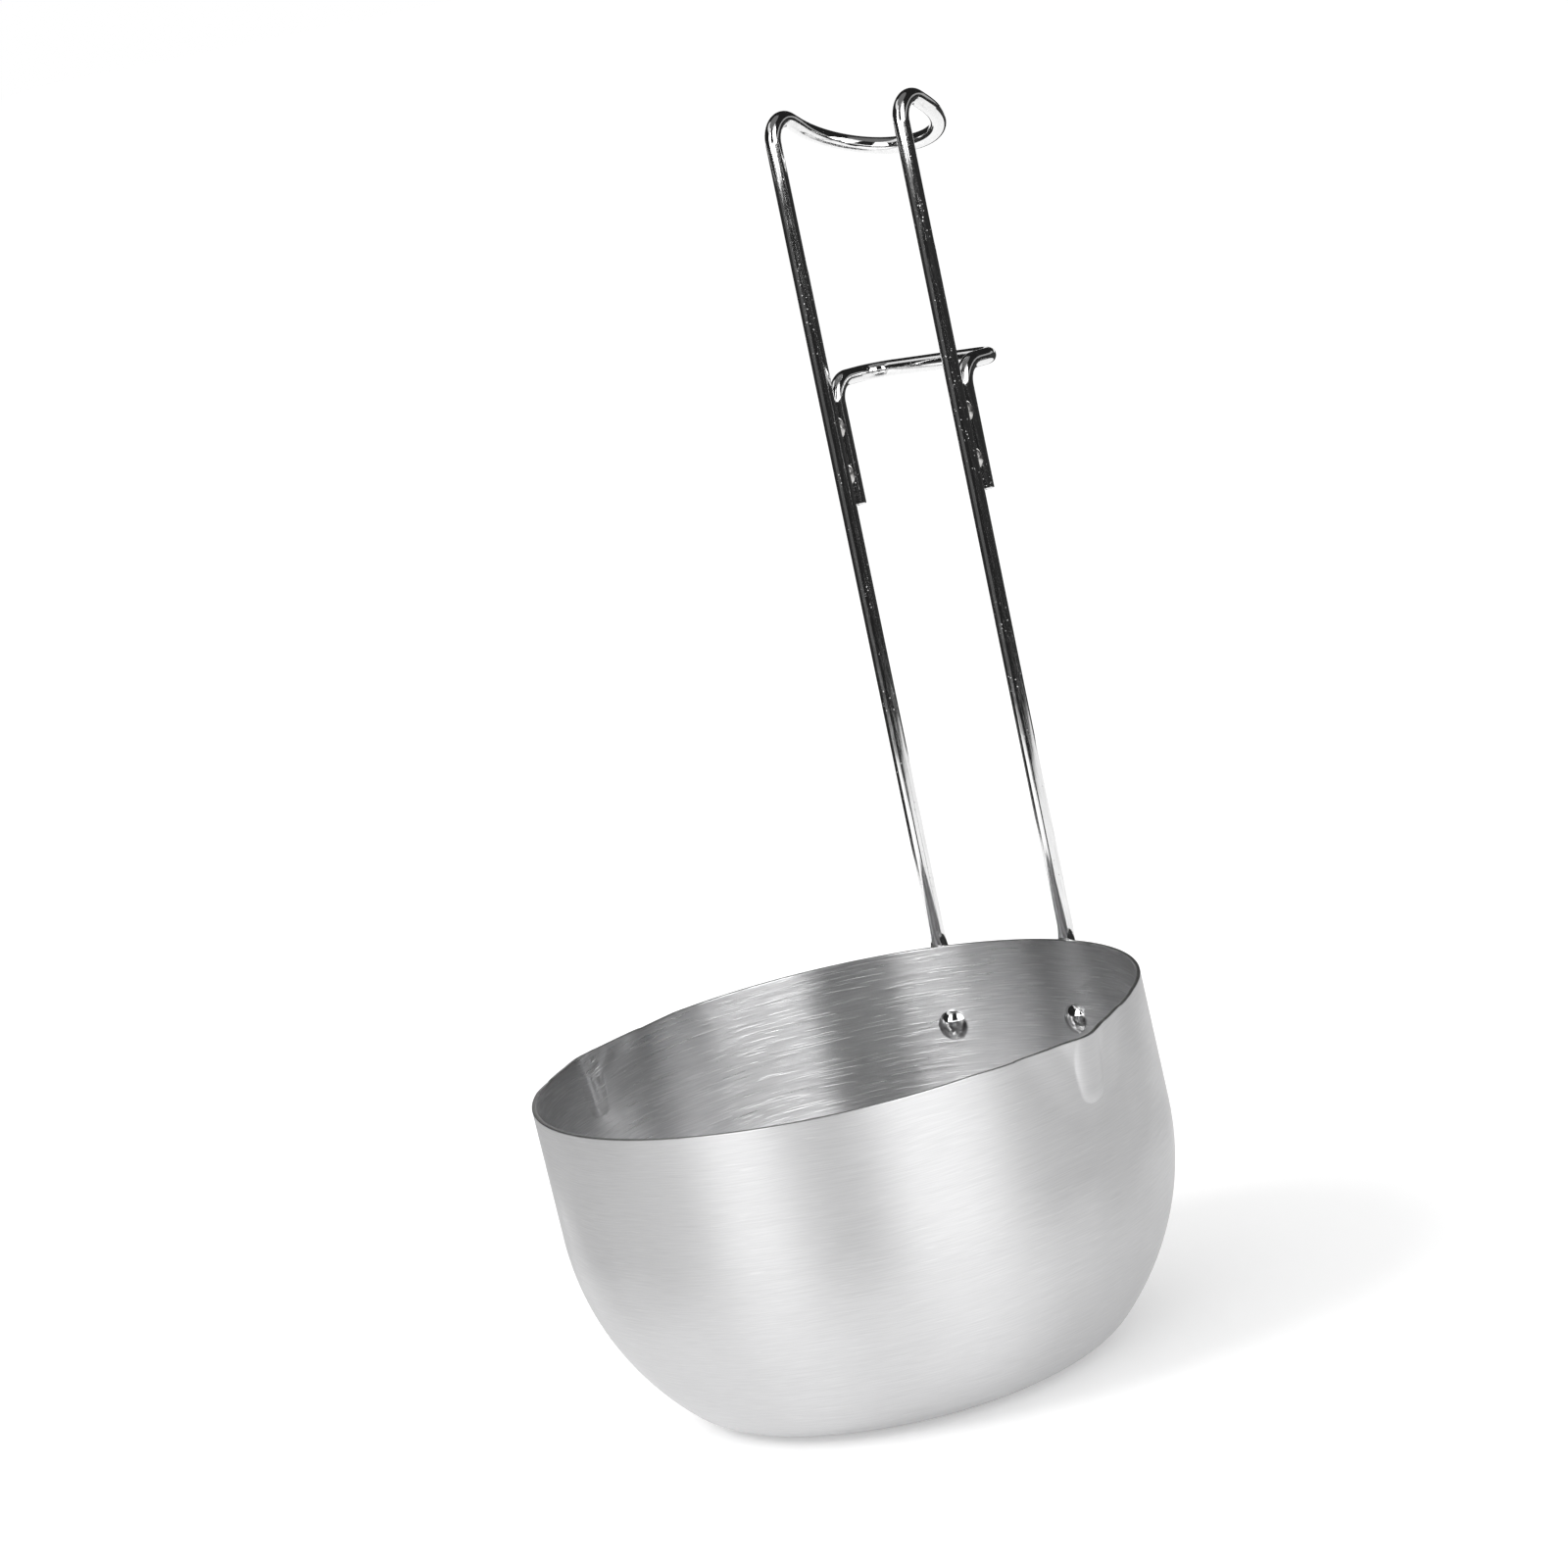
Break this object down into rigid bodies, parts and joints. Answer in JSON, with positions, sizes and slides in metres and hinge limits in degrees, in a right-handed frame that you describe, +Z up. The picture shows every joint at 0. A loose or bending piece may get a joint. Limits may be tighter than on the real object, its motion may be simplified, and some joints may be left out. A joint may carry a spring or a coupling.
{
  "type": "gravy ladle",
  "caption": "Deep round metal ladle with a pouring lip pressed into each side of the rim and a tall riveted wire handle ending in a hanging hook, with a pot hook behind it.",
  "frame": {"origin": "centre of the bowl's flat bottom, on its outer face", "axes": "+Z up through the bowl's open rim, +Y towards the side that carries the handle, +X across the two legs of the handle"},
  "size_m": [0.1138, 0.136, 0.218],
  "materials": {
    "satin_steel": "satin brushed round the bowl",
    "polished_wire": "mirror polished",
    "polished_rivet": "mirror polished",
    "weld_metal": "as welded, wiped bright"
  },
  "bodies": {
    "root": {"bowl": "satin_steel", "handle_wire": "polished_wire", "pot_hook": "polished_wire", "rivet_left": "polished_rivet", "rivet_right": "polished_rivet", "hook_welds": "weld_metal"}
  },
  "joints": []
}
